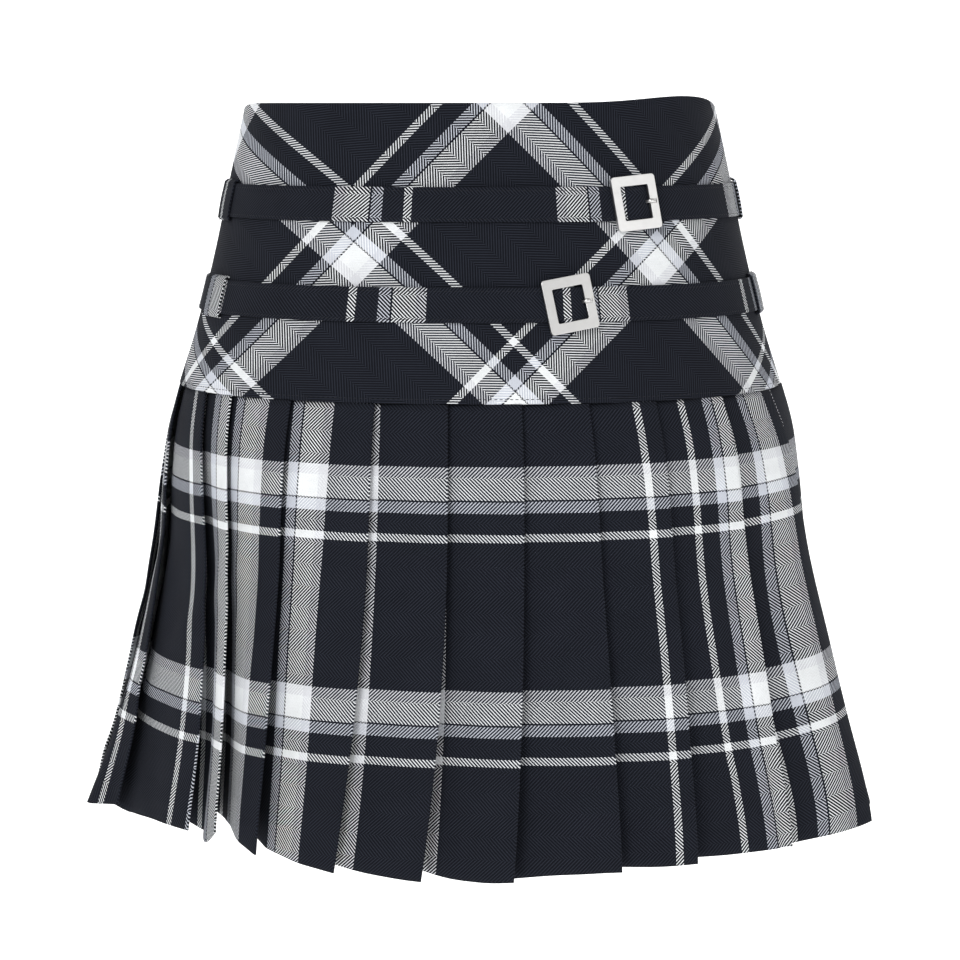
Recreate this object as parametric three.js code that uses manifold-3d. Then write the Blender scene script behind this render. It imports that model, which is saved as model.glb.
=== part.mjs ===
// A knife-pleated plaid mini skirt in the kilt style: a bias-cut hip yoke, two straps
// with centre-bar buckles held by side loops, and twenty-five pleats sewn to the yoke.
// Millimetres. The origin is the centre of the waist opening, +Z is up, the front faces -Y
// and +X is on the right of someone who looks at the front.
import * as THREE from "three";
import { mergeVertices } from "three/addons/utils/BufferGeometryUtils.js";
import Module from "manifold-3d";

const wasm = await Module();
wasm.setup();

// Driving sizes
const SEAM_GAP = 0.3;
const YOKE_LENGTH = 152;
const YOKE_WALL = 1.6;
const PLEAT_WALL = 1.1;
const STRAP_WALL = 1.4;
const STRAP_WIDTH = 17.8;
const LOOP_WALL = 1.1;
const LOOP_WIDTH = 22;
const LOOP_REACH = 2.2;
const CENTRE_FRONT = 13;
const RING_SQUARENESS = 2.15;
const RING_SAMPLES = 720;
const YOKE_STEPS = 96;
const BUCKLE_STEP = 1.5;

// The filled-out body of the skirt, by the distance down from the waist
const FORM = [
  { down: 0, halfWidth: 129, halfDepth: 97 },
  { down: 36, halfWidth: 137, halfDepth: 104 },
  { down: 80, halfWidth: 146.5, halfDepth: 113 },
  { down: 124, halfWidth: 158, halfDepth: 121 },
  { down: 152, halfWidth: 167, halfDepth: 126 },
  { down: 175, halfWidth: 173.6, halfDepth: 129.5 },
  { down: 200, halfWidth: 177.8, halfDepth: 132 },
  { down: 243, halfWidth: 183.5, halfDepth: 135 },
  { down: 289, halfWidth: 193.5, halfDepth: 140 },
  { down: 335, halfWidth: 204.5, halfDepth: 145.5 },
  { down: 381, halfWidth: 218, halfDepth: 151 },
  { down: 410, halfWidth: 225, halfDepth: 154 },
];

// The straps: upper edge below the waist, and the buckle's place from the front line
const STRAPS = [
  { name: "upper", down: 42, buckleAt: 82, buckleTilt: 5 },
  { name: "lower", down: 93, buckleAt: 46, buckleTilt: 10 },
];

// The side loops, from the front line
const LOOPS = [
  { side: "left", at: -166 },
  { side: "right", at: 192 },
];

const BUCKLE = {
  width: 26,
  height: 28.6,
  windowWidth: 16.2,
  windowHeight: 17.9,
  thickness: 2,
  corner: 3,
  windowCorner: 1.2,
  bevel: 0.35,
  barWidth: 1.8,
  barThickness: 1.3,
  notchWidth: 2.4,
  notchDepth: 0.6,
  prongRadius: 0.9,
  prongFrom: 2.2,
  prongTo: 10.9,
};

// The front's fold edges: places along the ring from the front line at the seam, halfway
// and at the hem, the open step down to the next panel at the hem, and the hem below the waist
const FRONT_FOLDS = [
  { seam: -208, middle: -226, hem: -236, step: 10, length: 377 },
  { seam: -170, middle: -158, hem: -165, step: 15, length: 382 },
  { seam: -142, middle: -142, hem: -147, step: 15, length: 389 },
  { seam: -102, middle: -111, hem: -121, step: 14, length: 390 },
  { seam: -55, middle: -62, hem: -77, step: 8, length: 396 },
  { seam: -17, middle: -19, hem: -31, step: 14, length: 398 },
  { seam: 21, middle: 22, hem: 17, step: 11, length: 397 },
  { seam: 56, middle: 66, hem: 74, step: 11, length: 394 },
  { seam: 93, middle: 107, hem: 116, step: 13, length: 392 },
  { seam: 136, middle: 158, hem: 176, step: 10, length: 389 },
  { seam: 182, middle: 256, hem: 288, step: 11, length: 399 },
  { seam: 220, middle: 291, hem: 325, step: 11, length: 396 },
];
const BACK_PLEATS = 13;
const BACK_STEP = 12;
const BACK_LENGTH = 390;
const PLEAT_COUNT = FRONT_FOLDS.length + BACK_PLEATS;
const PLEAT_CLOTH = 129;
const PLEAT_MIDDLE = 275;
const PLEAT_HEM = 398;
const PLEAT_PITCH = { seam: 1.7, hem: 2.4 };
const STEP_GROWTH = 1.2;
const PLEAT_LEVELS = [0, 0.12, 0.3, 0.52, 0.77, 1];

const COLOURS = { navy: 0x1e212b, silver: 0xc4c4c2 };

const mix = (a, b, t) => a + (b - a) * t;

// The half sizes of the body at a distance below the waist
function halfSizes(down) {
  const last = FORM.length - 1;
  let i = FORM.findIndex((row) => row.down >= down);
  i = i < 0 ? last : Math.max(i, 1);
  const [a, b] = [FORM[i - 1], FORM[i]];
  const t = (down - a.down) / (b.down - a.down);
  return { wide: mix(a.halfWidth, b.halfWidth, t), deep: mix(a.halfDepth, b.halfDepth, t) };
}

// One level ring of the body: its length, and its points by share of that length,
// from -0.5 to 0.5 with 0 at the front line
function makeRing(down) {
  const { wide, deep } = halfSizes(down);
  const n = RING_SQUARENESS;
  const at = (turn) => {
    const [s, c] = [Math.sin(turn), Math.cos(turn)];
    const reach = (Math.abs(s / wide) ** n + Math.abs(c / deep) ** n) ** (-1 / n);
    return [reach * s, -reach * c];
  };
  const lengths = [0];
  let before = at(0);
  for (let i = 1; i <= RING_SAMPLES; i++) {
    const here = at((Math.PI * i) / RING_SAMPLES);
    lengths.push(lengths[i - 1] + Math.hypot(here[0] - before[0], here[1] - before[1]));
    before = here;
  }
  const half = lengths[RING_SAMPLES];
  const point = (share) => {
    const turns = share - Math.round(share);
    const wanted = Math.abs(turns) * 2 * half;
    let [low, high] = [0, RING_SAMPLES];
    while (high - low > 1) {
      const i = (low + high) >> 1;
      if (lengths[i] <= wanted) low = i;
      else high = i;
    }
    const within = (wanted - lengths[low]) / (lengths[high] - lengths[low]);
    const [x, y] = at((Math.PI * (low + within)) / RING_SAMPLES);
    return [turns < 0 ? -x : x, y];
  };
  const outward = ([x, y]) => {
    const nx = (Math.sign(x) * Math.abs(x / wide) ** (n - 1)) / wide;
    const ny = (Math.sign(y) * Math.abs(y / deep) ** (n - 1)) / deep;
    const size = Math.hypot(nx, ny);
    return [nx / size, ny / size];
  };
  return { length: 2 * half, point, outward };
}

const rings = new Map();
function ringAt(down) {
  const key = Math.round(down * 20);
  if (!rings.has(key)) rings.set(key, makeRing(key / 20));
  return rings.get(key);
}

// A point of the body, moved out along its level ring
function bodyPoint(share, down, out) {
  const ring = ringAt(down);
  const [x, y] = ring.point(share);
  const [nx, ny] = ring.outward([x, y]);
  return new THREE.Vector3(x + nx * out, y + ny * out, -down);
}

// The same on the yoke's flat facets, so that what lies on the yoke follows it exactly
function yokePoint(share, down, out) {
  const place = share * YOKE_STEPS;
  const step = Math.floor(place + 1e-6);
  const a = bodyPoint(step / YOKE_STEPS, down, out);
  const b = bodyPoint((step + 1) / YOKE_STEPS, down, out);
  return a.lerp(b, place - step);
}

const shareAt = (along, down) => along / ringAt(down).length;

// A closed wall between two grids of points, outer[i][j] and inner[i][j], with i along
// the cloth to the right as seen from outside and j downwards
function wallGeometry(outer, inner) {
  const corners = [];
  const quad = (a, b, c, d) => corners.push(a, b, c, a, c, d);
  const [columns, rows] = [outer.length, outer[0].length];
  for (let i = 0; i + 1 < columns; i++) {
    for (let j = 0; j + 1 < rows; j++) {
      quad(outer[i][j], outer[i][j + 1], outer[i + 1][j + 1], outer[i + 1][j]);
      quad(inner[i][j], inner[i + 1][j], inner[i + 1][j + 1], inner[i][j + 1]);
    }
    quad(outer[i][0], outer[i + 1][0], inner[i + 1][0], inner[i][0]);
    const j = rows - 1;
    quad(outer[i][j], inner[i][j], inner[i + 1][j], outer[i + 1][j]);
  }
  for (let j = 0; j + 1 < rows; j++) {
    quad(outer[0][j], inner[0][j], inner[0][j + 1], outer[0][j + 1]);
    const i = columns - 1;
    quad(outer[i][j], outer[i][j + 1], inner[i][j + 1], inner[i][j]);
  }
  return new THREE.BufferGeometry().setFromPoints(corners);
}

function solidOf(geometry) {
  const plain = geometry.index ? geometry.toNonIndexed() : geometry.clone();
  plain.deleteAttribute("normal");
  plain.deleteAttribute("uv");
  const merged = mergeVertices(plain, 1e-4);
  const mesh = new wasm.Mesh({
    numProp: 3,
    vertProperties: merged.attributes.position.array,
    triVerts: new Uint32Array(merged.index.array),
  });
  return new wasm.Manifold(mesh);
}

function geometryOf(solid) {
  const mesh = solid.getMesh();
  const geometry = new THREE.BufferGeometry();
  geometry.setAttribute("position", new THREE.BufferAttribute(mesh.vertProperties, 3));
  geometry.setIndex(new THREE.BufferAttribute(mesh.triVerts, 1));
  return geometry;
}

const skirt = new THREE.Group();

function addPiece(name, geometry, finish) {
  geometry.computeVertexNormals();
  const metal = finish === "silver";
  const material = new THREE.MeshStandardMaterial({
    color: COLOURS[finish],
    roughness: metal ? 0.3 : 0.85,
    metalness: metal ? 1 : 0,
  });
  const mesh = new THREE.Mesh(geometry, material);
  mesh.name = name;
  skirt.add(mesh);
}

// The yoke's panels: the front, and two back halves that close at the centre back.
// Their outer face is the body itself.
function yokePanel(name, from, to) {
  const downs = [...FORM.map((row) => row.down).filter((down) => down < YOKE_LENGTH), YOKE_LENGTH];
  const gap = shareAt(SEAM_GAP / 2, YOKE_LENGTH);
  const shares = [from + gap];
  for (let i = Math.ceil(from * YOKE_STEPS); i <= Math.floor(to * YOKE_STEPS); i++) {
    const share = i / YOKE_STEPS;
    if (share > from + 0.2 / YOKE_STEPS && share < to - 0.2 / YOKE_STEPS) shares.push(share);
  }
  shares.push(to - gap);
  const outer = shares.map((share) => downs.map((down) => yokePoint(share, down, 0)));
  const inner = shares.map((share) => downs.map((down) => yokePoint(share, down, -YOKE_WALL)));
  addPiece(name, wallGeometry(outer, inner), "navy");
}

function yoke() {
  const centre = shareAt(CENTRE_FRONT, YOKE_LENGTH);
  yokePanel("yoke_front", centre - 0.25, centre + 0.25);
  yokePanel("yoke_back_right", centre + 0.25, centre + 0.5);
  yokePanel("yoke_back_left", centre + 0.5, centre + 0.75);
}

// How far a strap's inner face is lifted to pass over its buckle's hidden centre bar,
// at a distance along the strap from that bar
function barLift(along) {
  const flat = BUCKLE.barWidth / 2 + 0.6;
  const foot = BUCKLE.windowWidth / 2 + 0.6;
  const t = THREE.MathUtils.clamp((foot - Math.abs(along)) / (foot - flat), 0, 1);
  return t * t * (3 - 2 * t) * (BUCKLE.barThickness + SEAM_GAP);
}

// A stretch of strap between two places along the ring, lying on the yoke
function strapPiece(strap, from, to) {
  const middle = strap.down + STRAP_WIDTH / 2;
  const lean = Math.tan(THREE.MathUtils.degToRad(strap.buckleTilt));
  const ringLength = ringAt(middle).length;
  const alongs = [from, to];
  for (let i = -YOKE_STEPS; i <= YOKE_STEPS; i++) alongs.push((i / YOKE_STEPS) * ringLength);
  const reach = BUCKLE.windowWidth / 2 + 2.5;
  for (let d = -reach; d <= reach; d += BUCKLE_STEP) alongs.push(strap.buckleAt + d);
  const kept = alongs.filter((along) => along >= from && along <= to).sort((a, b) => a - b);
  const places = kept.filter((along, i) => i === 0 || along - kept[i - 1] > 0.25);
  const downs = [strap.down, strap.down + STRAP_WIDTH];
  const face = (out) =>
    places.map((along) =>
      downs.map((down) => {
        const lift = barLift(along - strap.buckleAt + (middle - down) * lean);
        return yokePoint(along / ringLength, down, SEAM_GAP + lift + out);
      }),
    );
  return wallGeometry(face(STRAP_WALL), face(0));
}

// The frame of a buckle: local x along the strap, y up and z outwards, with z 0 on the yoke
function buckleMatrix(strap) {
  const down = strap.down + STRAP_WIDTH / 2;
  const share = shareAt(strap.buckleAt, down);
  const origin = bodyPoint(share, down, 0);
  const along = bodyPoint(share + 0.004, down, 0).sub(bodyPoint(share - 0.004, down, 0)).normalize();
  const up = bodyPoint(share, down - 8, 0).sub(bodyPoint(share, down + 8, 0)).normalize();
  const out = new THREE.Vector3().crossVectors(along, up).normalize();
  up.crossVectors(out, along);
  const tilt = new THREE.Matrix4().makeRotationZ(THREE.MathUtils.degToRad(strap.buckleTilt));
  return new THREE.Matrix4().makeBasis(along, up, out).setPosition(origin).multiply(tilt);
}

function roundedOutline(path, width, height, radius) {
  const [x, y] = [width / 2, height / 2];
  path.moveTo(x, y - radius);
  path.absarc(x - radius, y - radius, radius, 0, Math.PI / 2, false);
  path.absarc(-x + radius, y - radius, radius, Math.PI / 2, Math.PI, false);
  path.absarc(-x + radius, -y + radius, radius, Math.PI, Math.PI * 1.5, false);
  path.absarc(x - radius, -y + radius, radius, Math.PI * 1.5, Math.PI * 2, false);
  path.closePath();
  return path;
}

const FRAME_BASE = SEAM_GAP + STRAP_WALL + SEAM_GAP;
const FRAME_TOP = FRAME_BASE + BUCKLE.thickness;

// A solid block in the buckle's own frame, between two corners
function block(low, high) {
  const size = high.map((value, i) => value - low[i]);
  const centre = high.map((value, i) => (value + low[i]) / 2);
  return solidOf(new THREE.BoxGeometry(...size).translate(...centre));
}

// A flat plate of the buckle's outline round its window, both grown by a margin
function framePlate(margin, low, high) {
  const { bevel } = BUCKLE;
  const wide = BUCKLE.width + 2 * (margin - bevel);
  const tall = BUCKLE.height + 2 * (margin - bevel);
  const shape = roundedOutline(new THREE.Shape(), wide, tall, BUCKLE.corner);
  const windowWide = BUCKLE.windowWidth - 2 * (margin - bevel);
  const windowTall = BUCKLE.windowHeight - 2 * (margin - bevel);
  shape.holes.push(roundedOutline(new THREE.Path(), windowWide, windowTall, BUCKLE.windowCorner));
  return new THREE.ExtrudeGeometry(shape, {
    depth: high - low - 2 * bevel,
    bevelThickness: bevel,
    bevelSize: bevel,
    bevelSegments: 1,
    curveSegments: 4,
  }).translate(0, 0, low + bevel);
}

// The buckle's frame with its notch, and the centre bar on two feet behind the strap
function buckleFrame() {
  const plate = framePlate(0, FRAME_BASE, FRAME_TOP);
  const barTop = SEAM_GAP + BUCKLE.barThickness;
  const foot = BUCKLE.windowHeight / 2 + 3.4;
  const footFrom = STRAP_WIDTH / 2 + 0.9;
  const wide = BUCKLE.barWidth / 2;
  const notch = BUCKLE.notchWidth / 2;
  return solidOf(plate)
    .add(block([-wide, -foot, SEAM_GAP], [wide, foot, barTop]))
    .add(block([-wide, footFrom, SEAM_GAP + 0.1], [wide, foot, FRAME_BASE + 0.5]))
    .add(block([-wide, -foot, SEAM_GAP + 0.1], [wide, -footFrom, FRAME_BASE + 0.5]))
    .subtract(
      block(
        [BUCKLE.windowWidth / 2 - 1, -notch, FRAME_TOP - BUCKLE.notchDepth],
        [BUCKLE.prongTo + 1.2, notch, FRAME_TOP + 1],
      ),
    );
}

// A round-ended rod between two points of the buckle's own frame
function rod(from, to, radius) {
  const [start, end] = [new THREE.Vector3(...from), new THREE.Vector3(...to)];
  const turn = new THREE.Quaternion().setFromUnitVectors(
    new THREE.Vector3(0, 1, 0),
    end.clone().sub(start).normalize(),
  );
  const middle = start.clone().lerp(end, 0.5);
  const geometry = new THREE.CapsuleGeometry(radius, start.distanceTo(end), 2, 8);
  return solidOf(geometry.applyQuaternion(turn).translate(middle.x, middle.y, middle.z));
}

// The prong rises from beside the centre bar, through the strap, and lies in the notch
function prongSolid(radius) {
  const floor = FRAME_TOP - BUCKLE.notchDepth + SEAM_GAP + BUCKLE.prongRadius;
  const root = [BUCKLE.prongFrom, 0, SEAM_GAP * 2 + BUCKLE.prongRadius];
  const bend = [BUCKLE.windowWidth / 2 - BUCKLE.prongRadius, 0, floor];
  const tip = [BUCKLE.prongTo - BUCKLE.prongRadius, 0, floor];
  return rod(root, bend, radius).add(rod(bend, tip, radius));
}

function strapsAndBuckles() {
  for (const strap of STRAPS) {
    const middle = strap.down + STRAP_WIDTH / 2;
    const [left, right] = LOOPS.map((loop) => loop.at);
    const around = ringAt(middle).length;
    const place = buckleMatrix(strap);
    const slot = geometryOf(prongSolid(BUCKLE.prongRadius + SEAM_GAP)).applyMatrix4(place);
    const room = framePlate(SEAM_GAP, FRAME_BASE - SEAM_GAP, FRAME_TOP + 2).applyMatrix4(place);
    const front = solidOf(strapPiece(strap, left + SEAM_GAP / 2, right - SEAM_GAP / 2))
      .subtract(solidOf(slot))
      .subtract(solidOf(room));
    addPiece(`strap_${strap.name}_front`, geometryOf(front), "navy");
    const back = strapPiece(strap, right + SEAM_GAP / 2, left + around - SEAM_GAP / 2);
    addPiece(`strap_${strap.name}_back`, back, "navy");
    const frame = geometryOf(buckleFrame()).applyMatrix4(place);
    addPiece(`buckle_${strap.name}_frame`, frame, "silver");
    const prong = geometryOf(prongSolid(BUCKLE.prongRadius)).applyMatrix4(place);
    addPiece(`buckle_${strap.name}_prong`, prong, "silver");
  }
}

// The loops lie on the yoke above and below a strap and bridge it
function loops() {
  const bridge = SEAM_GAP + STRAP_WALL + SEAM_GAP;
  const profile = [
    { beyond: LOOP_REACH, out: SEAM_GAP },
    { beyond: LOOP_REACH - 0.9, out: SEAM_GAP },
    { beyond: 0.4, out: bridge },
  ];
  for (const strap of STRAPS) {
    for (const loop of LOOPS) {
      const bottom = strap.down + STRAP_WIDTH;
      const rows = [
        ...profile.map((row) => ({ down: strap.down - row.beyond, out: row.out })),
        ...profile.map((row) => ({ down: bottom + row.beyond, out: row.out })).reverse(),
      ];
      const middle = (strap.down + bottom) / 2;
      const ends = [-0.5, 0.5].map((side) => shareAt(loop.at + side * LOOP_WIDTH, middle));
      const shares = [ends[0], ends[1]];
      for (let i = Math.ceil(ends[0] * YOKE_STEPS); i <= Math.floor(ends[1] * YOKE_STEPS); i++)
        shares.push(i / YOKE_STEPS);
      shares.sort((a, b) => a - b);
      const face = (out) =>
        shares.map((share) => rows.map((row) => yokePoint(share, row.down, row.out + out)));
      addPiece(`loop_${loop.side}_${strap.name}`, wallGeometry(face(LOOP_WALL), face(0)), "navy");
    }
  }
}

// All fold edges round the skirt, as shares of the ring at the seam, halfway and at the hem
function foldTable() {
  const levels = { seam: YOKE_LENGTH, middle: PLEAT_MIDDLE, hem: PLEAT_HEM };
  const rows = FRONT_FOLDS.map((row) => {
    const made = { step: row.step, length: row.length };
    for (const [level, down] of Object.entries(levels)) made[level] = shareAt(row[level], down);
    return made;
  });
  const [first, last] = [rows[0], rows[rows.length - 1]];
  for (let i = 1; i <= BACK_PLEATS; i++) {
    const t = i / (BACK_PLEATS + 1);
    const made = { step: BACK_STEP, length: BACK_LENGTH };
    for (const level of Object.keys(levels)) made[level] = mix(last[level], first[level] + 1, t);
    rows.push(made);
  }
  return rows;
}

const FOLD_ROWS = foldTable();

// A fold's row by its number, which runs on past a whole turn either way
function foldRow(k) {
  const turns = Math.floor(k / PLEAT_COUNT);
  return { ...FOLD_ROWS[k - turns * PLEAT_COUNT], turns };
}

// A fold edge's share of the ring at a part of the way from the seam (0) to the hem (1)
function foldShare(k, part) {
  const row = foldRow(k);
  const half = (PLEAT_MIDDLE - YOKE_LENGTH) / (PLEAT_HEM - YOKE_LENGTH);
  const atSeam = (row.seam * (part - half) * (part - 1)) / half;
  const atMiddle = (row.middle * part * (part - 1)) / (half * (half - 1));
  const atHem = (row.hem * part * (part - half)) / (1 - half);
  return atSeam + atMiddle + atHem + row.turns;
}

// The pleats' layers at one part of the way down. Depths grow inwards from the body.
function pleatLevel(part) {
  const pitch = mix(PLEAT_PITCH.seam, PLEAT_PITCH.hem, part);
  const grown = part ** STEP_GROWTH;
  const first = -4;
  const last = PLEAT_COUNT + 4;
  const folds = [];
  let sum = 0;
  for (let k = first; k <= last; k++) {
    folds.push({ share: foldShare(k, part), sum, length: foldRow(k).length });
    sum += mix(PLEAT_PITCH.seam, foldRow(k).step / 2, grown);
  }
  const fold = (k) => folds[k - first];
  const between = (share, key) => {
    let i = folds.findIndex((row) => row.share >= share);
    i = Math.max(i, 1);
    const [a, b] = [folds[i - 1], folds[i]];
    return mix(a[key], b[key], (share - a.share) / (b.share - a.share));
  };
  const downAt = (share) => {
    const top = YOKE_LENGTH + SEAM_GAP;
    return mix(top, between(share, "length"), part);
  };
  const panelDepth = (k, share) => 2 * (fold(k).sum - between(share, "sum"));
  return { pitch, fold, downAt, panelDepth };
}

// The cloth's middle line through one pleat, as rows of share and depth: the inner fold,
// the panel out to its fold edge, and the return behind it
function pleatLine(level, k) {
  const { pitch, fold, panelDepth } = level;
  const edge = fold(k).share;
  const before = fold(k - 1).share;
  const around = ringAt(level.downAt(edge)).length;
  const bend = pitch / 2 / around;
  const fullUnder = (width) => (PLEAT_CLOTH / around - width) / 2;
  const under = fullUnder(edge - before);
  const nextUnder = fullUnder(fold(k + 1).share - edge);
  const inner = before - under;
  const panel = (share) => ({ share, depth: panelDepth(k, share) });
  const outward = (share, depth) => ({ share, depth: panelDepth(k, share) + depth });
  const nextStep = 2 * (fold(k + 1).sum - fold(k).sum);
  const back = (t) => outward(edge - nextUnder * t, mix(pitch, nextStep - pitch, t));
  return [
    outward(inner + bend, -pitch),
    outward(inner, -pitch / 2),
    panel(inner + bend),
    panel(before - (under * 2) / 3),
    panel(before - under / 3),
    panel(before),
    panel(mix(before, edge, 1 / 3)),
    panel(mix(before, edge, 2 / 3)),
    panel(edge - bend),
    outward(edge, pitch / 2),
    outward(edge - bend, pitch),
    back(1 / 3),
    back(2 / 3),
  ];
}

// A node of pleats: from the middle of one return to the middle of another
function pleatNode(name, from, to) {
  const columns = { outer: [], inner: [] };
  PLEAT_LEVELS.forEach((part, row) => {
    const level = pleatLevel(part);
    const line = pleatLine(level, from - 1).slice(-2);
    for (let k = from; k <= to; k++) line.push(...pleatLine(level, k));
    const middle = line.map(({ share, depth }) => bodyPoint(share, level.downAt(share), -depth));
    const ends = [
      [middle[0], middle[1]],
      [middle[middle.length - 1], middle[middle.length - 2]],
    ];
    for (const [end, next] of ends) end.lerp(next, 0.5 + SEAM_GAP / 2 / end.distanceTo(next));
    middle.forEach((point, i) => {
      const before = middle[Math.max(i - 1, 0)];
      const after = middle[Math.min(i + 1, middle.length - 1)];
      const a = new THREE.Vector2(point.x - before.x, point.y - before.y);
      const b = new THREE.Vector2(after.x - point.x, after.y - point.y);
      if (i === 0) a.copy(b);
      if (i === middle.length - 1) b.copy(a);
      a.normalize();
      b.normalize();
      const normal = new THREE.Vector2(a.y + b.y, -a.x - b.x).normalize();
      const mitre = 1 / Math.max(normal.dot(new THREE.Vector2(a.y, -a.x)), 0.6);
      const shift = (PLEAT_WALL / 2) * mitre;
      for (const [side, sign] of [["outer", 1], ["inner", -1]]) {
        columns[side][i] ??= [];
        const x = point.x + normal.x * shift * sign;
        const y = point.y + normal.y * shift * sign;
        columns[side][i][row] = new THREE.Vector3(x, y, point.z);
      }
    });
  });
  addPiece(name, wallGeometry(columns.outer, columns.inner), "navy");
}

yoke();
strapsAndBuckles();
loops();
pleatNode("skirt_front", 0, FRONT_FOLDS.length - 1);
pleatNode("skirt_back", FRONT_FOLDS.length, PLEAT_COUNT - 1);

export default skirt;
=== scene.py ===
import math

import bmesh
import bpy
import numpy as np
from mathutils import Matrix, Vector


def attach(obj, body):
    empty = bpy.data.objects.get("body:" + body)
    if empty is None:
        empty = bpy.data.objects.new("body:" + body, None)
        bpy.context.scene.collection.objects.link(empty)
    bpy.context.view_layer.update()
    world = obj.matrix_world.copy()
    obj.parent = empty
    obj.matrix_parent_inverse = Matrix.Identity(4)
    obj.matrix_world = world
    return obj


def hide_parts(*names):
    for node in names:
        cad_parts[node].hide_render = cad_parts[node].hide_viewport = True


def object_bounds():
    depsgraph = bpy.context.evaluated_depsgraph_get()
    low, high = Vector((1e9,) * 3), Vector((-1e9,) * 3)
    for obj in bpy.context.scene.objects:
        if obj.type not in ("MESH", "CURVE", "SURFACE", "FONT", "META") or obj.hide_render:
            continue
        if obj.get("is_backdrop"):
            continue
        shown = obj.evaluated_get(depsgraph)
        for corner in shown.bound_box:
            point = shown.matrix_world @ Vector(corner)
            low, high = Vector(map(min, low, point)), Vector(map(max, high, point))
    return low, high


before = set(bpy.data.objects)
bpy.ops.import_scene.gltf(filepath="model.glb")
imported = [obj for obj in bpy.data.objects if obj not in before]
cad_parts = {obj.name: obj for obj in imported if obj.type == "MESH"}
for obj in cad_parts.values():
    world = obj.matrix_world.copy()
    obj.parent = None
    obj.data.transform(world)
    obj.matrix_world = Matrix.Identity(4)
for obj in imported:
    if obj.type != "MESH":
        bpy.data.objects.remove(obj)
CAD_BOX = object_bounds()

bl_info = {
    "name": "Pleated Plaid Skirt",
    "version": (1, 0, 0),
    "blender": (4, 5, 0),
    "location": "View3D > Sidebar > Skirt",
    "description": "Weaves, pleats, straps and buckles of a plaid mini skirt with a bias-cut yoke",
    "category": "Add Mesh",
}

# All sizes are in metres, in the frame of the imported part: the origin is the centre of the
# waist opening, +Z is up and the front faces -Y.
SEAM_GAP = 0.0003
YOKE_LENGTH = 0.152
STRAP_WIDTH = 0.0178
LOOP_WIDTH = 0.022
LOOP_REACH = 0.0022
CENTRE_FRONT = 0.013
RING_SQUARENESS = 2.15


def table(columns, *rows):
    """Rows of values under named columns."""
    return [dict(zip(columns.split(), row)) for row in rows]


def column(rows, name):
    return np.array([row[name] for row in rows])


# The filled-out body of the skirt, by the distance down from the waist
FORM = table(
    "down half_width half_depth",
    (0.0, 0.129, 0.097),
    (0.036, 0.137, 0.104),
    (0.08, 0.1465, 0.113),
    (0.124, 0.158, 0.121),
    (0.152, 0.167, 0.126),
    (0.175, 0.1736, 0.1295),
    (0.2, 0.1778, 0.132),
    (0.243, 0.1835, 0.135),
    (0.289, 0.1935, 0.14),
    (0.335, 0.2045, 0.1455),
    (0.381, 0.218, 0.151),
    (0.41, 0.225, 0.154),
)

# The straps: upper edge below the waist, the buckle's place from the front line, and its
# tilt in degrees
STRAPS = table(
    "name down buckle_at tilt",
    ("upper", 0.042, 0.082, 5),
    ("lower", 0.093, 0.046, 10),
)
# The places along each strap where the plaid's stripes lie
STRIPES = {
    "upper": table(
        "at stripe",
        (-0.166, 0.125),
        (-0.0773, 0.0389),
        (-0.0566, 0.021),
        (-0.035, 0.0),
        (0.077, -0.116),
        (0.192, -0.232),
    ),
    "lower": table(
        "at stripe",
        (-0.166, -0.088),
        (-0.069, 0.0),
        (-0.0459, 0.021),
        (-0.0275, 0.0389),
        (0.0446, 0.118),
        (0.0613, 0.137),
        (0.0776, 0.1549),
        (0.164, 0.234),
        (0.192, 0.262),
    ),
}

# The side loops: place from the front line, and the stripe at the middle of each
LOOPS = table(
    "side strap at stripe",
    ("left", "upper", -0.166, 0.003),
    ("right", "upper", 0.192, 0.026),
    ("left", "lower", -0.166, 0.0225),
    ("right", "lower", 0.192, 0.024),
)

# The front's fold edges: places along the ring from the front line at the seam, halfway
# and at the hem, the open step down to the next panel at the hem, the hem below the waist,
# how much higher the hem starts beside the fold before, how much it droops in between, and
# the stripe that lies on the fold edge at the seam, halfway and at the hem
FRONT_FOLDS = table(
    "seam middle hem step length notch droop stripes",
    (-0.208, -0.209, -0.2265, 0.01, 0.3775, 0.0, 0.0, (0.009, 0.011, 0.0147)),
    (-0.165, -0.1578, -0.165, 0.015, 0.3805, -0.0055, 0.0, (0.0125, 0.0132, 0.0167)),
    (-0.142, -0.142, -0.147, 0.015, 0.3795, -0.003, 0.006, (0.0295, 0.031, 0.032)),
    (-0.102, -0.111, -0.121, 0.014, 0.388, 0.001, 0.0, (0.0518, 0.0525, 0.053)),
    (-0.055, -0.062, -0.077, 0.008, 0.394, 0.0, 0.0, (0.0605, 0.0643, 0.0598)),
    (-0.017, -0.019, -0.031, 0.014, 0.3968, 0.002, 0.0, (0.074, 0.077, 0.0756)),
    (0.021, 0.022, 0.017, 0.011, 0.397, 0.002, 0.0015, (0.08, 0.0795, 0.0807)),
    (0.056, 0.066, 0.074, 0.011, 0.3935, -0.001, -0.001, (0.1, 0.101, 0.101)),
    (0.093, 0.107, 0.116, 0.013, 0.3922, 0.0, 0.0, (0.1291, 0.1282, 0.1275)),
    (0.136, 0.158, 0.176, 0.01, 0.3905, 0.0, 0.0, (0.145, 0.1485, 0.1461)),
    (0.182, 0.225, 0.24, 0.011, 0.3885, -0.002, 0.0, (0.1655, 0.1685, 0.1675)),
    (0.22, 0.272, 0.297, 0.011, 0.392, 0.0, 0.0, (0.185, 0.186, 0.187)),
)
# The pleat at the right where the cloth is eased wider: how much of the sett a length of it
# shows, at the seam, halfway and at the hem
EASED_PLEAT = 10
EASE = (1.05, 0.72, 0.86)
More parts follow.
